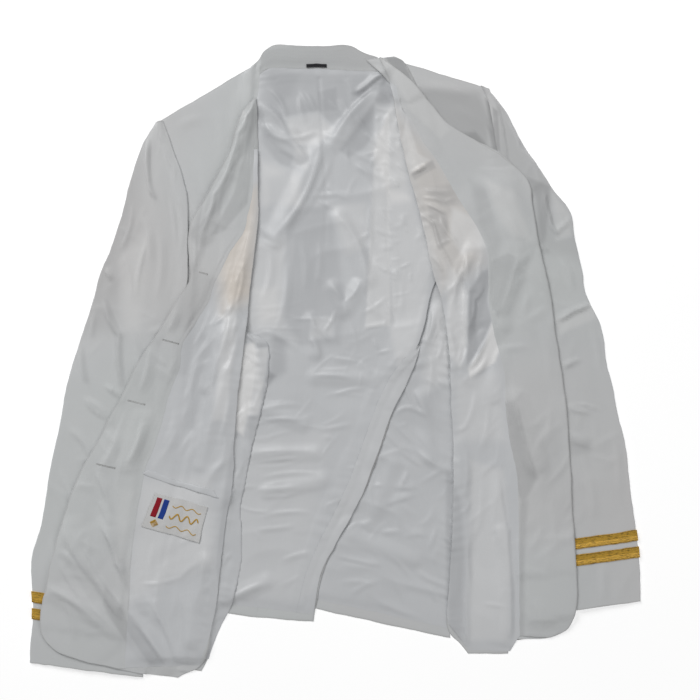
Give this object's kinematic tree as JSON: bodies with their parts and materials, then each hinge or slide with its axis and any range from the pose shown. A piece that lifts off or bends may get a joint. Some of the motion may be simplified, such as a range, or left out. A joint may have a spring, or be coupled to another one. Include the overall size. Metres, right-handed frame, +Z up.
{
  "type": "naval service dress jacket",
  "caption": "White woman's naval service dress coat lying open on its back, fronts turned out to show lining, label and gold sleeve lace.",
  "frame": {"origin": "middle of the jacket's outline as it lies, on the surface that it lies on", "axes": "+Z up, away from the surface; +Y towards the collar; +X towards the wearer's left sleeve"},
  "size_m": [0.706, 0.7307, 0.0228],
  "materials": {
    "twill": "matte white twill",
    "lining": "soft satin sheen, white",
    "gold_lace": "metallic gold braid",
    "label": "smooth woven satin label",
    "tag": "black woven tape"
  },
  "bodies": {
    "root": {"collar_under": "twill", "collar_stand": "twill", "collar_end_right": "twill", "collar_end_left": "twill", "back_right_shell": "twill", "back_left_shell": "twill", "back_vent_facing": "twill", "back_lining": "lining", "side_left_shell": "twill", "side_left_lining": "lining", "side_right_shell": "twill", "side_right_lining": "lining", "front_right_side": "twill", "front_left_side": "twill", "front_right_shell": "twill", "front_right_facing": "twill", "front_right_lining": "lining", "front_left_shell": "twill", "front_left_facing": "twill", "front_left_lining": "lining", "under_sleeve_right": "twill", "top_sleeve_right": "twill", "under_sleeve_left": "twill", "top_sleeve_left": "twill", "sleeve_lace_lower_right": "gold_lace", "sleeve_lace_upper_right": "gold_lace", "sleeve_lace_lower_left": "gold_lace", "sleeve_lace_upper_left": "gold_lace", "inner_pocket_welt": "lining", "inner_label": "label", "neck_tag": "tag"}
  },
  "joints": []
}
